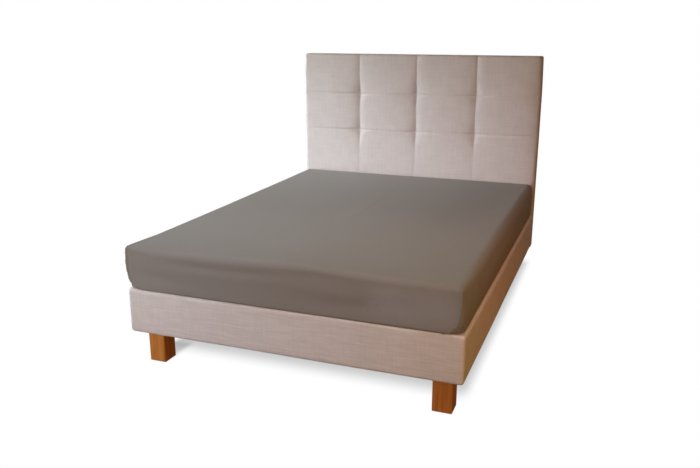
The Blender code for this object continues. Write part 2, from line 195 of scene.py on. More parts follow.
# Soft ridges and troughs in the cloth's sides. Along runs from the middle of the side, towards +X or +Y,
# and height from the cloth's underside. Lean turns the fold's long axis up from level. A trough has a rise
# below zero.
# side, along, height, half length, half height, lean in degrees, rise
FOLDS = (
    ("foot", -0.390, 0.142, 0.130, 0.020, -2, -0.0032),
    ("foot", -0.140, 0.142, 0.080, 0.018, 0, -0.0030),
    ("foot", 0.000, 0.170, 0.060, 0.022, 0, 0.0010),
    ("foot", 0.150, 0.166, 0.120, 0.022, 3, -0.0026),
    ("foot", -0.300, 0.112, 0.200, 0.026, 2, 0.0016),
    ("foot", 0.130, 0.112, 0.180, 0.024, -3, 0.0018),
    ("foot", 0.480, 0.128, 0.160, 0.026, 4, 0.0022),
    ("foot", -0.560, 0.070, 0.140, 0.030, -5, -0.0022),
    ("foot", 0.300, 0.062, 0.200, 0.024, 2, -0.0020),
    ("foot", 0.640, 0.110, 0.050, 0.070, 8, -0.0018),
    ("foot", -0.626, 0.172, 0.034, 0.008, 59, 0.0024),
    ("right", -0.860, 0.110, 0.035, 0.075, 4, 0.0026),
    ("right", -0.760, 0.105, 0.045, 0.080, -6, -0.0024),
    ("right", -0.600, 0.100, 0.080, 0.070, 10, 0.0020),
    ("right", -0.150, 0.105, 0.320, 0.030, 2, 0.0020),
    ("right", 0.420, 0.090, 0.280, 0.034, -3, -0.0018),
    ("left", -0.960, 0.110, 0.130, 0.070, 0, 0.0090),
    ("left", -0.790, 0.105, 0.050, 0.070, -5, -0.0016),
    ("left", -0.480, 0.120, 0.260, 0.032, 3, -0.0020),
    ("left", 0.240, 0.100, 0.300, 0.034, -2, 0.0022),
)

SIDES = {"foot": (0.0, -1.0), "right": (1.0, 0.0), "head": (0.0, 1.0), "left": (-1.0, 0.0)}
CORNERS = np.array([(-1.0, -1.0), (1.0, -1.0), (1.0, 1.0), (-1.0, 1.0)])

# How a block's skin is divided: steps across and along, each with how they crowd towards the ends, steps
# round a corner, and rows round the lower edge, up the side and round the upper edge.
Grid = collections.namedtuple("Grid", "across along corner rows")
SHEET_GRID = Grid(across=(60, 0.6), along=(116, 0.5), corner=16, rows=(6, 27, 10))  # across half the foot
MATTRESS_GRID = Grid(across=(36, 0.3), along=(44, 0.3), corner=8, rows=(5, 6, 7))
BASE_GRID = Grid(across=(70, 0.5), along=(80, 0.5), corner=8, rows=(5, 16, 5))
HEADBOARD_GRID = Grid(across=(52, 0.7), along=(34, 0.7), corner=8, rows=(3, 8, 8))  # for each pad
HIDDEN_STEPS = 8  # up the hidden part of the headboard

Places = collections.namedtuple("Places", "core outward passed middles across along corner")
Skin = collections.namedtuple("Skin", "flat height away tilt rows faces")


# ---------------------------------------------------------------- the grid under every soft piece


def crowded(count, pull):
    """Shares from 0 up to but without 1, closer together at both ends: t - pull * sin(2 pi t) / (2 pi)."""
    even = np.arange(count) / count
    return even - pull * np.sin(2 * np.pi * even) / (2 * np.pi)


def mirrored(shares):
    """The same shares counted from the other end."""
    return (1 - np.append(shares, 1.0)[::-1])[:-1]


def places_round(across, along, corner):
    """Places round a rounded rectangle, anticlockwise from its lower left end.

    across and along are shares of the lower and of the right side, which the sides opposite mirror, and each
    corner is a quarter turn in an even number of steps. A place has a core point on the inner rectangle, from
    -1 to 1 each way, an outward direction, and the sides passed with the share of this one.
    """
    core, angle, passed, middles, count = [], [], [], [], 0
    turn = np.arange(corner) / corner * np.pi / 2
    for number, shares in enumerate((across, along, mirrored(across), mirrored(along))):
        start, end = CORNERS[number], CORNERS[(number + 1) % 4]
        facing = (number - 1) * np.pi / 2
        core += [start + (end - start) * shares[:, None], np.tile(end, (corner, 1))]
        angle += [np.full(len(shares), facing), facing + turn]
        passed += [number + shares, np.full(corner, number + 1.0)]
        middles.append(count + len(shares) + corner // 2)
        count += len(shares) + corner
    angle = np.concatenate(angle)
    outward = np.stack([np.cos(angle), np.sin(angle)], axis=-1)
    core, passed = np.concatenate(core), np.concatenate(passed)
    return Places(core, outward, passed, middles, len(across), len(along), corner)


def side_rows(depth, lower, upper, steps):
    """Rows up the side of a block: a quarter round, an upright stretch and a quarter round.

    A row has an inset, a height and a tilt, which goes from -90 degrees, facing down, to 90, facing up. On a
    quarter round the inset is radius * (1 - cos tilt), and the height is radius * (1 + sin tilt) above the
    underside, or that much measured down from the top with the sign of the tilt turned. upper holds a radius
    for each place.
    """
    lower_steps, side_steps, upper_steps = steps
    first = np.radians(np.linspace(-90, 0, lower_steps + 1))[:, None]
    last = np.radians(np.linspace(0, 90, upper_steps + 1))[:, None]
    share = np.linspace(0, 1, side_steps + 1)[1:-1, None]
    level = np.zeros_like(upper)
    inset = [lower * (1 - np.cos(first)) + level, 0 * share + level, upper * (1 - np.cos(last))]
    height = [
        lower * (1 + np.sin(first)) + level,
        lower + (depth - upper - lower) * share,
        depth - upper * (1 - np.sin(last)),
    ]
    tilt = [first, 0 * share, last]
    return np.concatenate(inset), np.concatenate(height), np.concatenate(tilt)[:, 0]


def framed_grid(places, ring):
    """The ring's own entries along the four sides of the grid that it frames: bottom, right, top and left."""
    turned = np.roll(ring, places.corner // 2, axis=0)
    wide, high = places.across + places.corner, places.along + places.corner
    closed = np.concatenate([turned, turned[:1]])
    bottom, right = closed[: wide + 1], closed[wide : wide + high + 1]
    top = closed[wide + high : 2 * wide + high + 1][::-1]
    left = closed[2 * wide + high :][::-1]
    return bottom, right, top, left


def lid_points(places, ring):
    """The points inside a closed ring, on the grid that it frames.

    Each is the mean pull of the four sides: the side below and the side above mixed by the share of the
    height, plus the sides left and right mixed by the share of the width, less the four corners mixed by
    both.
    """
    bottom, right, top, left = framed_grid(places, ring)
    s = ((bottom[:, 0] - bottom[0, 0]) / (bottom[-1, 0] - bottom[0, 0]))[:, None, None]
    t = ((left[:, 1] - left[0, 1]) / (left[-1, 1] - left[0, 1]))[None, :, None]
    between = (1 - t) * bottom[:, None] + t * top[:, None] + (1 - s) * left[None] + s * right[None]
    corners = (1 - s) * ((1 - t) * bottom[0] + t * top[0]) + s * ((1 - t) * bottom[-1] + t * top[-1])
    return (between - corners)[1:-1, 1:-1].reshape(-1, ring.shape[1])


def lid_faces(places, ring_numbers, first_new):
    """Quads over the grid that a ring frames: the ring's numbers on its border and new ones inside."""
    bottom, right, top, left = framed_grid(places, ring_numbers)
    grid = np.empty((len(bottom), len(left)), int)
    grid[:, 0], grid[:, -1], grid[0], grid[-1] = bottom, top, left, right
    inside = (len(bottom) - 2, len(left) - 2)
    grid[1:-1, 1:-1] = first_new + np.arange(inside[0] * inside[1]).reshape(inside)
    return np.stack([grid[:-1, :-1], grid[1:, :-1], grid[1:, 1:], grid[:-1, 1:]], axis=-1).reshape(-1, 4)


def block_skin(places, half_size, rows, radius, lower_lid):
    """The skin of a rounded block, as flat points, heights, directions out of the surface, and faces.

    A point is its core point times (half size - inset - corner radius), plus the corner radius times its
    outward direction, at its row's height. The direction out of the surface is the outward one times the
    cosine of the tilt, and straight up times its sine. A lid closes the top, and one closes the underside
    where it is asked for.
    """
    inset, height, tilt = rows
    reach = np.stack([half_size[0] - inset - radius, half_size[1] - inset - radius], axis=-1)
    rings = places.core * reach + places.outward * radius[..., None]
    row_count, count = height.shape
    numbers = np.arange(row_count * count).reshape(row_count, count)
    after = np.roll(numbers, -1, axis=1)
    faces = [np.stack([numbers[:-1], after[:-1], after[1:], numbers[1:]], axis=-1).reshape(-1, 4)]
    flat, heights = [rings.reshape(-1, 2)], [height.reshape(-1)]
    away = np.concatenate([places.outward * np.cos(tilt)[:, None, None], 0 * rings[..., :1]], axis=-1)
    away[..., 2] = np.sin(tilt)[:, None]
    away, tilts = [away.reshape(-1, 3)], [np.repeat(tilt, count)]
    for row, way in ((-1, 1.0), *(((0, -1.0),) if lower_lid else ())):
        faces.append(lid_faces(places, numbers[row], sum(map(len, flat)))[:, :: int(way)])
        points = lid_points(places, np.column_stack([rings[row], height[row]]))
        flat.append(points[:, :2])
        heights.append(points[:, 2])
        away.append(np.tile((0.0, 0.0, way), (len(points), 1)))
        tilts.append(np.full(len(points), way * np.pi / 2))
    joined = (np.concatenate(part) for part in (flat, heights, away, tilts))
    return Skin(*joined, rings, np.concatenate(faces))


def piece_from(name, points, faces, material, run=None):
    """A smooth mesh piece.

    run holds, for each point, its place on the flat cloth, which the weave follows.
    """
    mesh = bpy.data.meshes.new(name)
    mesh.from_pydata(points.tolist(), [], faces.tolist())
    if run is not None:
        flat = np.zeros((len(points), 3), np.float32)
        flat[:, : run.shape[1]] = run
        mesh.attributes.new("cloth_run", "FLOAT_VECTOR", "POINT").data.foreach_set("vector", flat.ravel())
    mesh.shade_smooth()
    mesh.materials.append(material)
    piece = bpy.data.objects.new(name, mesh)
    bpy.context.scene.collection.objects.link(piece)
    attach(piece, "root")
    return piece


def bump(distance, half_width):
    """A bell: exp(-(distance / half width)^2)."""
    return np.exp(-((distance / half_width) ** 2))


# ---------------------------------------------------------------- materials

SHEET_COLOUR = (0.240, 0.222, 0.205)
UPHOLSTERY_COLOUR = (0.670, 0.630, 0.625)
TICKING_COLOUR = (0.72, 0.71, 0.68)
WOOD_SHADES = ((0.30, (0.33, 0.108, 0.017)), (0.50, (0.56, 0.206, 0.036)), (0.70, (0.72, 0.298, 0.062)))

KNIT_RIB_PITCH = 0.0011
KNIT_COURSE_PITCH = 0.0009
THREAD_PITCH = 0.0013
TWILL_PITCH = 0.0016

# How far the upholstery's threads and streaks go lighter and darker than the cloth.
# level threads, upright threads, level streaks, upright streaks
BASE_WEAVE = (0.07, 0.05, 0.16, 0.07)
HEADBOARD_WEAVE = (0.045, 0.035, 0.06, 0.08)


class Finish:
    """A node material of one of the bed's finishes, with short calls for the nodes that it needs."""

    def __init__(self, name, roughness, sheen=0.0, sheen_roughness=0.5):
        self.material = bpy.data.materials.new(name)
        self.material.use_nodes = True
        self.tree = self.material.node_tree
        self.shader = self.tree.nodes["Principled BSDF"]
        self.shader.inputs["Roughness"].default_value = roughness
        self.shader.inputs["Sheen Weight"].default_value = sheen
        self.shader.inputs["Sheen Roughness"].default_value = sheen_roughness

    def node(self, kind, settings=(), **wires):
        """A node with its settings, and each wire named for the socket that it feeds: a socket or a value."""
        made = self.tree.nodes.new(kind)
        for key, value in dict(settings).items():
            setattr(made, key, value)
        for socket, source in wires.items():
            self.wire(source, made.inputs[socket.replace("_", " ")])
        return made

    def wire(self, source, socket):
        """Feeds a socket from another one, or gives it a value."""
        if isinstance(source, bpy.types.NodeSocket):
            self.tree.links.new(source, socket)
        else:
            socket.default_value = source

    def place(self, run=False):
        """The surface's own coordinates: its place on the flat cloth, or else its place in the room."""
        if run:
            return self.node("ShaderNodeAttribute", {"attribute_name": "cloth_run"}).outputs["Vector"]
        return self.node("ShaderNodeTexCoord").outputs["Object"]

    def grain(
        self, place, scale=1.0, detail=2.0, roughness=0.5, stretch=(1, 1, 1), shift=(0, 0, 0), distortion=0.0
    ):
        """Smooth noise from 0 to 1, drawn out by dividing the place by stretch."""
        drawn = tuple(1 / length for length in stretch)
        turned = self.node("ShaderNodeMapping", Vector=place, Scale=drawn, Location=shift)
        noise = self.node(
            "ShaderNodeTexNoise",
            Vector=turned.outputs[0],
            Scale=scale,
            Detail=detail,
            Roughness=roughness,
            Distortion=distortion,
        )
        return noise.outputs["Fac"]

    def waves(self, place, pitch, direction, distortion=0.0):
        """Even rounded ridges, pitch apart, across a direction."""
        made = self.node(
            "ShaderNodeTexWave",
            {"bands_direction": direction},
            Vector=place,
            Scale=math.pi / (10 * pitch),
            Distortion=distortion,
        )
        return made.outputs["Fac"]

    def sum(self, first, second, operation="ADD"):
        """Two numbers added, or joined by another operation."""
        made = self.node("ShaderNodeMath", {"operation": operation})
        self.wire(first, made.inputs[0])
        self.wire(second, made.inputs[1])
        return made.outputs[0]

    def spread(self, value, low, high):
        """A value from 0 to 1 brought between low and high."""
        made = self.node("ShaderNodeMapRange")
        for socket, source in (("Value", value), ("To Min", low), ("To Max", high)):
            self.wire(source, made.inputs[socket])
        return made.outputs[0]

    def shades(self, value, *stops):
        """A colour read from stops of place and linear colour."""
        ramp = self.node("ShaderNodeValToRGB")
        band = ramp.color_ramp.elements
        while len(band) < len(stops):
            band.new(0.5)
        for element, (place, colour) in zip(band, stops):
            element.position, element.color = place, (*colour, 1.0)
        self.wire(value, ramp.inputs[0])
        return ramp.outputs[0]

    def dyed(self, colour, shade):
        """A colour made lighter or darker by a number round 1."""
        made = self.node("ShaderNodeMix", {"data_type": "RGBA", "blend_type": "MULTIPLY"})
        made.inputs[0].default_value = 1.0
        self.wire(colour if isinstance(colour, bpy.types.NodeSocket) else (*colour, 1.0), made.inputs[6])
        self.wire(shade, made.inputs[7])
        return made.outputs[2]

    def finish(self, colour, height=None, distance=0.0002):
        """The material, with its colour and a relief of the given depth."""
        self.wire(colour, self.shader.inputs["Base Color"])
        if height is not None:
            relief = self.node("ShaderNodeBump", Height=height, Distance=distance, Strength=1.0)
            self.wire(relief.outputs[0], self.shader.inputs["Normal"])
        return self.material


def knit_cotton():
    """Fine grey-brown jersey: upright ribs crossed by courses, with faintly uneven yarn and dye."""
    cloth = Finish("knit_cotton", roughness=0.88, sheen=0.12, sheen_roughness=0.45)
    run = cloth.place(run=True)
    ribs = cloth.waves(run, KNIT_RIB_PITCH, "X", distortion=0.4)
    courses = cloth.waves(run, KNIT_COURSE_PITCH, "Y", distortion=0.6)
    stitches = cloth.sum(ribs, courses, "MULTIPLY")
    yarn = cloth.grain(run, 260.0, detail=3.0, stretch=(1, 4, 1))
    dye = cloth.grain(run, 5.0, detail=3.0)
    shade = cloth.sum(cloth.spread(yarn, 0.955, 1.045), cloth.spread(dye, 0.975, 1.025), "MULTIPLY")
    shade = cloth.sum(shade, cloth.spread(stitches, 0.95, 1.03), "MULTIPLY")
    height = cloth.sum(stitches, cloth.sum(yarn, 0.6, "MULTIPLY"))
    return cloth.finish(cloth.dyed(SHEET_COLOUR, shade), height, distance=0.00012)


def woven_upholstery(name, weave):
    """Light greige cloth: level and upright threads of uneven thickness, and streaks that run along them."""
    cloth = Finish(name, roughness=0.92, sheen=0.15, sheen_roughness=0.5)
    run = cloth.place(run=True)
    level = cloth.grain(run, stretch=(0.060, 0.0022, 1))
    upright = cloth.grain(run, stretch=(0.0026, 0.045, 1), shift=(7.3, 2.1, 0))
    level_streaks = cloth.grain(run, stretch=(0.130, 0.011, 1), shift=(1.7, 9.2, 0))
    upright_streaks = cloth.grain(run, detail=3.0, stretch=(0.009, 0.150, 1), shift=(3.1, 5.7, 0))
    blotches = cloth.grain(run, 14.0, detail=3.0)
    shade = cloth.spread(blotches, 0.93, 1.07)
    for share, strands in zip(weave, (level, upright, level_streaks, upright_streaks)):
        shade = cloth.sum(shade, cloth.spread(strands, 1 - share, 1 + share), "MULTIPLY")
    across, along = (cloth.waves(run, THREAD_PITCH, way, distortion=0.8) for way in "XY")
    threads = cloth.sum(across, along)
    height = cloth.sum(cloth.sum(level, upright), cloth.sum(threads, 0.5, "MULTIPLY"))
    return cloth.finish(cloth.dyed(UPHOLSTERY_COLOUR, shade), height, distance=0.0003)


def mattress_ticking():
    """Off-white ticking with a fine twill."""
    cloth = Finish("mattress_ticking", roughness=0.9)
    place = cloth.place()
    twill = cloth.waves(place, TWILL_PITCH, "DIAGONAL", distortion=0.5)
    shade = cloth.spread(cloth.sum(twill, cloth.grain(place, 40.0), "MULTIPLY"), 0.95, 1.05)
    return cloth.finish(cloth.dyed(TICKING_COLOUR, shade), twill, distance=0.0002)


def oiled_wood():
    """Warm orange-brown solid wood: upright grain with darker late wood, fine pores and a satin oil."""
    wood = Finish("oiled_wood", roughness=0.42)
    wood.shader.inputs["Coat Weight"].default_value = 0.15
    wood.shader.inputs["Coat Roughness"].default_value = 0.3
    place = wood.place()
    figure = wood.grain(place, detail=3.0, stretch=(0.020, 0.020, 0.300), distortion=0.6)
    lines = wood.grain(place, detail=4.0, roughness=0.65, stretch=(0.003, 0.003, 0.120), shift=(4, 2, 0))
    pores = wood.grain(place, detail=1.0, stretch=(0.0007, 0.0007, 0.012), shift=(1, 8, 0))
    tone = wood.sum(wood.sum(figure, 0.55, "MULTIPLY"), wood.sum(lines, 0.45, "MULTIPLY"))
    colour = wood.shades(tone, *WOOD_SHADES)
    colour = wood.dyed(colour, wood.spread(pores, 0.90, 1.06))
    return wood.finish(colour, wood.sum(lines, pores), distance=0.00015)


# ---------------------------------------------------------------- the fitted sheet


def seam_distance(places, rings):
    """How far each point of each ring is from the nearest corner seam, measured round its ring."""
    seams = np.array(places.middles) + SEAM_STEPS
    steps = np.linalg.norm(np.roll(rings, -1, axis=1) - rings, axis=-1)
    total = steps.sum(axis=1, keepdims=True)
    along = np.cumsum(steps, axis=1) - steps
    apart = np.abs(along[:, :, None] - along[:, None, seams])
    return np.minimum(apart, total[..., None] - apart).min(axis=-1)


def fold_rise(flat, facing, height):
    """How far the folds lift the cloth: a bell-shaped hump or dip for each row of FOLDS.

    It counts as far as the cloth faces that side, and fades to nothing at the underside.
    """
    rise = np.zeros(height.shape)
    for side, along, level, half_length, half_height, lean, depth in FOLDS:
        toward = np.clip(facing @ np.array(SIDES[side]), 0, 1) ** 2
        across = flat[..., 0 if side == "foot" else 1] - along
        up = height - level
        turn = math.radians(lean)
        long_way = across * math.cos(turn) + up * math.sin(turn)
        short_way = up * math.cos(turn) - across * math.sin(turn)
        rise += toward * depth * bump(long_way, half_length) * bump(short_way, half_height)
    return rise * np.clip(height / FOLDS_START, 0, 1)


def belly_rise(flat, facing, height):
    """How far the filling pushes the sides out.

    It is a half wave up each side, made flatter by a power, and a smooth step in from the side's ends.
    """
    rise = np.zeros(height.shape)
    up = np.sin(np.pi * np.clip(height / SHEET_HEIGHT, 0, 1)) ** BELLY_ROUNDNESS
    for side, push, run_in in BELLIES:
        axis = 0 if side == "head" else 1
        toward = np.clip(facing @ np.array(SIDES[side]), 0, 1) ** 2
        from_end = np.clip((SHEET_HALF_SIZE[axis] - np.abs(flat[..., axis])) / run_in, 0, 1)
        rise += push * toward * up * from_end**2 * (3 - 2 * from_end)
    return rise


def foot_bow(flat, height):
    """How much higher the cloth lies in the middle of the foot.

    It is a bell across times a bell back from the foot, and grows with the square of the height.
    """
    middle, half_length, half_depth, rise = FOOT_BOW
    back = bump(flat[:, 1] + SHEET_HALF_SIZE[1], half_depth)
    return rise * bump(flat[:, 0] - middle, half_length) * back * (height / SHEET_HEIGHT) ** 2


def seam_rise(apart, height):
    """The sewn corner seam: a narrow ridge between two shallow grooves, all bell-shaped, and its puckers.

    The puckers are two sine waves up the seam, which fade with a bell beside it.
    """
    rise, half_width = SEAM_RIDGE
    depth, beside, groove_half_width = SEAM_GROOVES
    rolls = rise * bump(apart, half_width) - depth * bump(apart - beside, groove_half_width)
    puckers = sum(rise * np.sin(height * 2 * np.pi / pitch + phase) for rise, pitch, phase in SEAM_PUCKERS)
    return rolls + puckers * bump(apart, SEAM_PUCKER_REACH)


def top_rise(flat):
    """The top of the sheet: a pressed crease down its middle, and broad swells of about a millimetre.

    The crease is a bell across, and loses up to half its height in slow waves along. The swells are one slow
    wave across, which bends as it goes along, times one slow wave along.
    """
    x, y = flat[..., 0], flat[..., 1]
    rise, half_width = TOP_CREASE
    crease = rise * bump(x, half_width) * (0.75 + 0.25 * np.sin(y * 5.1 + 0.6))
    swells = TOP_SWELLS * (1 + np.sin(x * 6.1 + 2.0 * np.sin(y * 1.7)) * np.sin(y * 4.3 + 1.1))
    return crease + swells


def build_sheet(material):
    """One cut of thin knit cloth: the top, the sides, the sewn corners and the tuck under the mattress.

    The grid is a rounded block without its lower lid, whose corner radius changes with the height. Folds,
    bellies, seams and swells are then added along the direction out of the surface.
    """
    halves = crowded(*SHEET_GRID.across) / 2
    across = np.concatenate([halves, 0.5 + halves])
    places = places_round(across, crowded(*SHEET_GRID.along), SHEET_GRID.corner)
    radii, edges = np.array(CORNER_RADII), np.array(TOP_EDGE)
    edge = np.interp(places.passed, edges[:, 0], edges[:, 1], period=4)
    inset, height, tilt = side_rows(SHEET_HEIGHT, LOWER_BEND, edge, SHEET_GRID.rows)
    tuck = np.array(TUCK_RINGS)[:, None] + 0 * edge
    inset, height = np.concatenate([tuck, inset]), np.concatenate([0 * tuck, height])
    tilt = np.concatenate([np.full(len(tuck), -np.pi / 2), tilt])
    upright = (height - LOWER_BEND) / (SHEET_HEIGHT - edge - LOWER_BEND)
    share = np.maximum(np.clip(upright, 0, 1), np.minimum(height, LOWER_BEND) / SHEET_HEIGHT)
    by_corner = [np.interp(share, radii[:, 0], radii[:, n]) for n in (1, 2, 3, 3, 1)]
    passed = places.passed
    mix = [np.clip(1 - np.abs(passed - n), 0, 1) for n in range(5)]
    radius = sum(m * r for m, r in zip(mix, by_corner))
    hem = np.clip((tuck - TUCK_START) / (TUCK_REACH - TUCK_START), 0, 1)
    radius[: len(tuck)] = CORNER_RADII[0][1] + (HEM_CORNER - CORNER_RADII[0][1]) * hem
    skin = block_skin(places, SHEET_HALF_SIZE, (inset, height, tilt), radius, lower_lid=False)

    rings, upright_rows = skin.rows, height.size
    apart = seam_distance(places, rings)
    outward = np.broadcast_to(places.outward, rings.shape)
    lift = np.zeros(len(skin.flat))
    past_tuck = tilt[:, None] > TUCK_TILT
    side_lift = fold_rise(rings, outward, height) + belly_rise(rings, outward, height) * past_tuck
    side_lift += seam_rise(apart, height) * np.clip(np.cos(tilt)[:, None] * SEAM_FADE, 0, 1) * past_tuck
    over = np.clip(np.sin(tilt), 0, 1)[:, None] ** 2
    side_lift += top_rise(rings) * over
    lift[:upright_rows] = side_lift.ravel()
    lift[upright_rows:] = top_rise(skin.flat[upright_rows:])
    points = np.column_stack([skin.flat, skin.height]) + skin.away * lift[:, None]
    points[:, 2] += foot_bow(skin.flat, skin.height)
    points += (0, SHEET_MIDDLE_Y, SHEET_BOTTOM)

    steps_down = np.linalg.norm(np.diff(np.stack([inset, height]), axis=1), axis=0)
    down = np.cumsum(steps_down[::-1], axis=0)[::-1]
    down = np.concatenate([down, 0 * down[:1]])
    side_run = (rings[-1] + places.outward * down[..., None]).reshape(-1, 2)
    run = np.concatenate([side_run, skin.flat[upright_rows:]])
    sheet = piece_from("fitted_sheet_knit", points, skin.faces, material, run)
    wall = sheet.modifiers.new("cloth thickness", "SOLIDIFY")
    wall.thickness = SHEET_THICKNESS
    wall.offset = -1.0
    wall.use_even_offset = True
    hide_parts("fitted_sheet")
    return sheet


# ---------------------------------------------------------------- the mattress and the bed


def place_block(skin, lift, low, high, turned=False):
    """The block's points, moved into the box from low to high. A turned block's underside faces +Y."""
    points = np.column_stack([skin.flat, skin.height]) + skin.away * lift[:, None]
    middle = (np.array(low) + np.array(high)) / 2
    if turned:
        across, back, up = points[:, 0] + middle[0], high[1] - points[:, 2], points[:, 1] + middle[2]
        return np.column_stack([across, back, up])
    return points + (middle[0], middle[1], low[2])


def build_mattress(material):
    """The filled block under the sheet, just clear of it on every side."""
    low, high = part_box("mattress")
    half_size = ((high.x - low.x) / 2, (high.y - low.y) / 2)
    across, along, corner, steps = MATTRESS_GRID
    places = places_round(crowded(*across), crowded(*along), corner)
    edge = np.full(len(places.core), MATTRESS_EDGE)
    rows = side_rows(high.z - low.z, MATTRESS_LOWER_EDGE, edge, steps)
    skin = block_skin(places, half_size, rows, np.full(rows[1].shape, MATTRESS_CORNER), lower_lid=True)
    points = place_block(skin, np.zeros(len(skin.flat)), low, high)
    mattress = piece_from("mattress_filled", points, skin.faces, material, skin.flat)
    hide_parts("mattress")
    return mattress


def build_base(material):
    """The upholstered box: soft rounded edges, and a padded cover that lies slightly uneven.

    The cover stands out by a puff, plus the product of a slow wave across and one along, both of which lean
    with the height, times the cosine of the tilt.
    """
    low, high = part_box("bed_base")
    depth = high.z - low.z
    half_size = ((high.x - low.x) / 2, (high.y - low.y) / 2)
    across, along, corner, steps = BASE_GRID
    places = places_round(crowded(*across), crowded(*along), corner)
    edge = np.interp(places.passed, *np.transpose(BASE_TOP_EDGE))
    rows = side_rows(depth, BASE_EDGE, edge, steps)
    radius = np.interp(places.core[:, 0], (-1, 1), BASE_CORNERS) + 0 * rows[1]
    skin = block_skin(places, half_size, rows, radius, lower_lid=True)
    (across_turn, across_climb, across_phase), (along_turn, along_climb, along_phase) = BASE_WAVES
    wave_across = np.sin(skin.flat[:, 0] * across_turn + skin.height * across_climb + across_phase)
    wave_along = np.sin(skin.flat[:, 1] * along_turn + skin.height * along_climb + along_phase)
    lift = (BASE_PUFF + BASE_UNEVEN * (wave_across * wave_along)) * np.cos(skin.tilt)
    points = place_block(skin, lift, low, high)
    rings, height = skin.rows, rows[1]
    steps_round = np.linalg.norm(np.diff(rings, axis=1, prepend=rings[:, -1:]), axis=-1)
    girth = np.cumsum(steps_round, axis=1)
    run = np.stack([girth, height], axis=-1).reshape(-1, 2)
    run = np.concatenate([run, skin.flat[len(run) :]])
    base = piece_from("base_upholstered", points, skin.faces, material, run)
    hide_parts("bed_base")
    return base


def pad_relief(x, z):
    """How far the headboard's front lies behind its fullest point.

    Four things are added up. Each pad is crowned: its surface falls with the square of the distance from its
    middle, more so level with a tuft, and the left pads lose most of this towards the left rim. An upright
    seam is a valley with rounded shoulders, (1 - distance / half width) to a power, and it deepens towards a
    tuft. Low down the crowns and valleys are slack. A level seam is a much finer groove of the same form,
    narrower above than below, that deepens towards a tuft and runs out in the valley there. The padding also
    thins towards the left, right and top rims, by (1 - distance / width) squared.
    """
    half, pad = BED_HALF_WIDTH, 2 * BED_HALF_WIDTH / PAD_COLUMNS
    seams = [pad * number - half for number in range(1, PAD_COLUMNS)]
    to_upright = np.min([np.abs(x - place) for place in seams], axis=0)
    level_z = z + LEVEL_SEAM_DROP - LEVEL_SEAM_RISE * x
    below_row, above_row = (level_z - place for place in TUFT_ROWS)
    from_level = np.where(np.abs(below_row) < np.abs(above_row), below_row, above_row)
    to_level = np.abs(from_level)
    to_rims = (half + x, half - x, HEADBOARD_TOP - z)
    to_rim = np.min(to_rims, axis=0)
    near_tufts = bump(to_level, TUFT_REACH)
    drawn = np.clip((z - SLACK_BELOW[0]) / (SLACK_BELOW[1] - SLACK_BELOW[0]), 0, 1)
    drawn = SLACK_SHARE + (1 - SLACK_SHARE) * drawn
    off_middle = np.abs((x + half) / pad % 1 - 0.5) * 2
    crown = (PAD_CROWN + PAD_TUFT_CROWN * near_tufts) * off_middle**2
    crown = crown * (1 - (1 - LEFT_CROWN) * np.clip(1 - to_rims[0] / (pad / 2), 0, 1))
    valley = np.clip(1 - to_upright / SEAM_HALF_WIDTH, 0, 1) ** SEAM_SHARPNESS
    valley = valley * (SEAM_DEPTH + (TUFT_DEPTH - SEAM_DEPTH) * near_tufts)
    groove_width = np.where(from_level > 0, *LEVEL_HALF_WIDTHS)
    groove = np.clip(1 - to_level / groove_width, 0, 1) ** LEVEL_SHARPNESS
    groove = groove * np.clip(to_rim / LEVEL_SEAM_FADE, 0, 1)
    pull = LEVEL_SEAM_DEPTH + (LEVEL_TUFT_DEPTH - LEVEL_SEAM_DEPTH) * bump(to_upright, LEVEL_TUFT_REACH)
    groove = groove * pull * (1 - valley / TUFT_DEPTH)
    thinner = [np.clip(1 - apart / RIM_FALL_WIDTH, 0, 1) ** 2 for apart in to_rims]
    fall = sum(most * share for most, share in zip(RIM_FALLS, thinner))
    return (crown + valley) * drawn + groove + fall


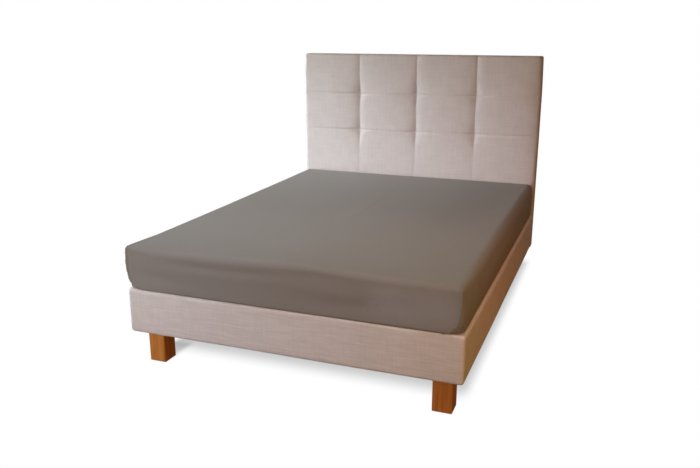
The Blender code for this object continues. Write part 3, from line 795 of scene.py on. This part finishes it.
def build_headboard(material):
    """The upholstered board: sewn and tufted pads in front, a rolled rim, plain sides and a flat back.

    It is a rounded block that lies on its back, with grid lines crowded towards the seams. Its front half is
    pressed in by the pads' relief, more so towards the front, and its sides stand out by a flattened half
    wave, which fades with the square root of the distance from the top.
    """
    low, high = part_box("headboard")
    half_size = ((high.x - low.x) / 2, (high.z - low.z) / 2)
    middle_z = (high.z + low.z) / 2
    reach = [half - HEADBOARD_EDGE - HEADBOARD_CORNER for half in half_size]
    pad = 2 * half_size[0] / PAD_COLUMNS
    seams = [-reach[0], -pad, 0.0, pad, reach[0]]
    bands = [z - middle_z for z in (HIDDEN_BELOW, *TUFT_ROWS)]
    bands = [-reach[1], *bands, reach[1]]
    steps_up, pull_up = HEADBOARD_GRID.along
    band_steps = (HIDDEN_STEPS, steps_up, steps_up, steps_up)
    across = [a + (b - a) * crowded(*HEADBOARD_GRID.across) for a, b in zip(seams[:-1], seams[1:])]
    along = [a + (b - a) * crowded(n, pull_up) for a, b, n in zip(bands[:-1], bands[1:], band_steps)]
    shares = [(np.concatenate(part) / far + 1) / 2 for part, far in zip((across, along), reach)]
    places = places_round(*shares, HEADBOARD_GRID.corner)
    depth = high.y - low.y
    rim = np.full(len(places.core), HEADBOARD_EDGE)
    rows = side_rows(depth, HEADBOARD_BACK_EDGE, rim, HEADBOARD_GRID.rows)
    skin = block_skin(places, half_size, rows, np.full(rows[1].shape, HEADBOARD_CORNER), lower_lid=True)
    in_front = np.clip((skin.height - depth / 2) / (depth / 2 - HEADBOARD_EDGE), 0, 1)
    skin.height[:] -= in_front * pad_relief(skin.flat[:, 0], skin.flat[:, 1] + middle_z)
    below_top = np.clip((half_size[1] - skin.flat[:, 1]) / HEADBOARD_PUFF_FADE, 0, 1)
    half_wave = np.sin(np.pi * np.clip(skin.height / depth, 0, 1)) ** HEADBOARD_PUFF_ROUNDNESS
    puff = HEADBOARD_PUFF * half_wave * np.sqrt(below_top)
    lift = puff * np.cos(skin.tilt) * np.abs(skin.away[:, 0])
    points = place_block(skin, lift, low, high, turned=True)
    run = skin.flat + skin.away[:, :2] * (depth - skin.height)[:, None]
    headboard = piece_from("headboard_tufted", points, skin.faces, material, run)
    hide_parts("headboard")
    return headboard


# ---------------------------------------------------------------- floor, light and camera

CAMERA_PLACE = (1.2704, -3.6161, 1.5114)
CAMERA_TURN = (math.pi / 2 - 0.2753, 0.0, 0.3598)
CAMERA_LENS = 37.458
SENSOR_WIDTH = 36.0

# Soft lights, as of a tall window on the left and a warm wall on the right. Spread is in degrees.
# name, place, aim, width and height, spread, colour, watts
LIGHTS = (
    ("window_left", (-2.4, 0.0, 2.2), (0.0, 0.3, 0.5), (1.4, 1.4), 180, (1.00, 0.96, 0.86), 26.0),
    ("window_low", (-3.2, 0.0, 0.6), (0.0, 0.5, 0.6), (1.6, 0.9), 180, (0.82, 0.92, 1.00), 38.0),
    ("headboard_wash", (-2.4, 0.3, 1.3), (-0.1, 0.95, 0.4), (0.7, 0.7), 60, (0.75, 0.90, 1.00), 3.8),
    ("front_left_low", (-2.4, -3.0, 1.1), (0.0, 0.9, 0.15), (1.2, 1.0), 45, (0.97, 1.00, 0.99), 3.5),
    ("foot_low", (-2.0, -3.4, 0.5), (-0.4, -0.4, 0.1), (1.4, 0.6), 70, (1.00, 0.90, 0.98), 2.4),
    ("front_low", (0.3, -4.8, 1.2), (0.2, 0.9, 0.1), (1.6, 1.0), 40, (0.60, 0.70, 1.00), 1.9),
    ("overhead_left", (-1.2, -1.4, 2.8), (-0.4, -0.5, 0.5), (1.4, 1.4), 60, (0.66, 0.82, 1.00), 4.3),
    ("overhead_right", (0.9, -1.8, 2.6), (0.3, -0.7, 0.5), (1.2, 1.2), 60, (1.00, 0.86, 0.68), 3.0),
    ("warm_wall", (2.4, -3.2, 1.2), (0.0, 0.0, 0.5), (1.6, 1.4), 180, (1.00, 0.47, 0.00), 28.0),
    ("warm_right", (2.4, -1.0, 1.3), (0.75, 0.1, 0.3), (1.2, 0.8), 70, (1.00, 0.00, 0.00), 0.85),
    ("foot_strip", (0.4, -3.8, 0.9), (0.56, -1.06, 0.48), (0.36, 0.08), 4, (0.54, 0.65, 0.78), 0.034),
    ("behind", (0.4, 3.4, 2.2), (0.0, 0.6, 0.6), (2.4, 1.8), 180, (1.00, 0.97, 0.92), 36.0),
)
AMBIENT = (0.070, 0.045, 0.025)
FLOOR_REACH = 60.0
# Painted shadow on the floor: its glow is dimmed under the bed and behind the leg at its lit corner.
# from, to, softness across and along, brightness
FLOOR_PAINTED_SHADOWS = (
    ((-0.74, -0.81), (0.745, 1.18), (0.034, 0.09), 0.58),
    ((-0.74, -0.94), (-0.645, -0.76), (0.025, 0.04), 0.60),
)


def painted_shadow_mask(paint, along, low, high, softness):
    """The mask of a painted floor shadow along one axis: 1 where a floor coordinate lies between low and
    high, 0 outside, and a smooth step at each end.
    """
    from_middle = paint.sum(paint.sum(along, (low + high) / 2, "SUBTRACT"), 0.0, "ABSOLUTE")
    step = paint.node("ShaderNodeMapRange", {"interpolation_type": "SMOOTHSTEP"}, Value=from_middle)
    step.inputs["From Min"].default_value = (high - low) / 2 + softness
    step.inputs["From Max"].default_value = (high - low) / 2 - softness
    return step.outputs[0]


def build_floor():
    """A wide plain white floor that glows evenly, with painted shadow that dims its glow under the bed and
    behind the leg at its lit corner.
    """
    mesh = bpy.data.meshes.new("studio_floor")
    far = FLOOR_REACH
    mesh.from_pydata([(-far, -far, 0), (far, -far, 0), (far, far, 0), (-far, far, 0)], [], [(0, 1, 2, 3)])
    paint = Finish("floor_paint", roughness=1.0)
    paint.shader.inputs["Specular IOR Level"].default_value = 0.0
    paint.shader.inputs["Emission Color"].default_value = (1.0, 1.0, 1.0, 1.0)
    axes = paint.node("ShaderNodeSeparateXYZ", Vector=paint.place()).outputs
    # The painted shadows: each rectangle dims the floor's glow to its brightness.
    shade = 1.0
    for start, end, softness, brightness in FLOOR_PAINTED_SHADOWS:
        sides = [painted_shadow_mask(paint, *side) for side in zip(axes, start, end, softness)]
        shade = paint.sum(shade, paint.spread(paint.sum(*sides, "MULTIPLY"), 1.0, brightness), "MULTIPLY")
    paint.wire(shade, paint.shader.inputs["Emission Strength"])
    mesh.materials.append(paint.finish((0.0, 0.0, 0.0, 1.0)))
    floor = bpy.data.objects.new("studio_floor", mesh)
    bpy.context.scene.collection.objects.link(floor)
    floor.visible_diffuse = False
    floor.visible_glossy = False


def build_world():
    """White where it is seen, and a faint even light on the bed."""
    world = bpy.data.worlds.new("studio")
    world.use_nodes = True
    tree = world.node_tree
    tree.nodes.clear()
    seen = tree.nodes.new("ShaderNodeBackground")
    seen.inputs[0].default_value = (1, 1, 1, 1)
    lit = tree.nodes.new("ShaderNodeBackground")
    lit.inputs[0].default_value = (*AMBIENT, 1)
    path, mix = tree.nodes.new("ShaderNodeLightPath"), tree.nodes.new("ShaderNodeMixShader")
    out = tree.nodes.new("ShaderNodeOutputWorld")
    tree.links.new(path.outputs["Is Camera Ray"], mix.inputs[0])
    tree.links.new(lit.outputs[0], mix.inputs[1])
    tree.links.new(seen.outputs[0], mix.inputs[2])
    tree.links.new(mix.outputs[0], out.inputs[0])
    bpy.context.scene.world = world


def build_lights():
    """The soft lights, each turned from its place to its aim and hidden from the camera."""
    for name, place, aim, size, spread, colour, watts in LIGHTS:
        lamp = bpy.data.lights.new(name, "AREA")
        lamp.shape = "RECTANGLE"
        lamp.size, lamp.size_y = size
        lamp.spread = math.radians(spread)
        lamp.color = colour
        lamp.energy = watts
        light = bpy.data.objects.new(name, lamp)
        bpy.context.scene.collection.objects.link(light)
        light.location = place
        toward = np.array(aim) - np.array(place)
        level = math.hypot(toward[0], toward[1])
        light.rotation_euler = (math.atan2(level, -toward[2]), 0, math.atan2(-toward[0], toward[1]))
        light.visible_camera = False


def build_camera():
    """The camera, at the place from which the bed is looked at."""
    lens = bpy.data.cameras.new("camera")
    lens.sensor_width = SENSOR_WIDTH
    lens.lens = CAMERA_LENS
    camera = bpy.data.objects.new("camera", lens)
    bpy.context.scene.collection.objects.link(camera)
    camera.location = CAMERA_PLACE
    camera.rotation_euler = CAMERA_TURN
    bpy.context.scene.camera = camera


def clear_scene():
    """Takes away all that a new scene starts with."""
    for thing in list(bpy.data.objects):
        bpy.data.objects.remove(thing, do_unlink=True)


clear_scene()
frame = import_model()

bpy.context.scene.view_settings.view_transform = "Standard"
build_camera()
build_world()
build_lights()
build_floor()

build_sheet(knit_cotton())
build_mattress(mattress_ticking())
build_base(woven_upholstery("base_upholstery", BASE_WEAVE))
build_headboard(woven_upholstery("headboard_upholstery", HEADBOARD_WEAVE))
wood = oiled_wood()
for name, node in frame["nodes"].items():
    if name.startswith("leg_"):
        node.data.materials.clear()
        node.data.materials.append(wood)
